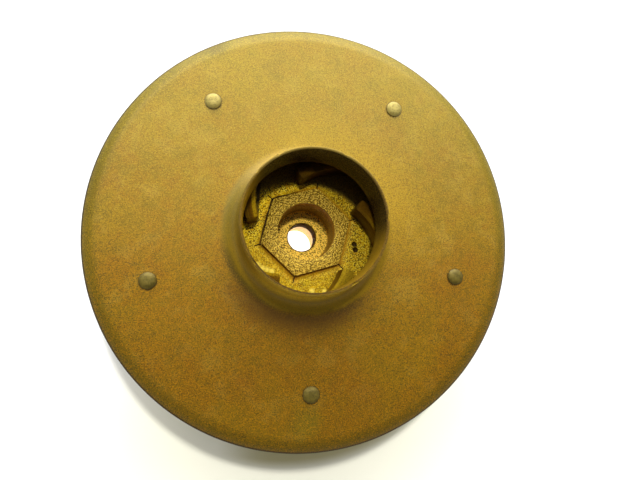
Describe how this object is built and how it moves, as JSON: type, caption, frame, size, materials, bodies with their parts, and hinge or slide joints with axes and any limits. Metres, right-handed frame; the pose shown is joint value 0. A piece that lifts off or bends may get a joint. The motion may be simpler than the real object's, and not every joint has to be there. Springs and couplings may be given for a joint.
{
  "type": "closed centrifugal pump impeller",
  "caption": "Closed pump impeller of riveted sheet brass: disc with a tall inlet collar, backward-swept vanes between two shrouds and a hexagonal-nosed hub bored for a shaft.",
  "frame": {"origin": "centre of the hub's flat back end, on the shaft axis", "axes": "+Z along the shaft axis out of the inlet eye; +X and +Y across the disc"},
  "size_m": [0.1524, 0.1524, 0.071],
  "materials": {
    "shroud_brass": "tarnished ochre brass with fine speckle",
    "plate_brass": "yellow-green brass, water-worn and part polished",
    "hub_brass": "turned brass with fine concentric tool marks",
    "vane_brass": "stained cast brass",
    "rivet_brass": "dark olive tarnish"
  },
  "bodies": {
    "root": {"front_shroud": "shroud_brass", "back_shroud": "plate_brass", "hub": "hub_brass", "vane_1": "vane_brass", "vane_2": "vane_brass", "vane_3": "vane_brass", "vane_4": "vane_brass", "vane_5": "vane_brass", "rivet_1": "rivet_brass", "rivet_2": "rivet_brass", "rivet_3": "rivet_brass", "rivet_4": "rivet_brass", "rivet_5": "rivet_brass"}
  },
  "joints": []
}
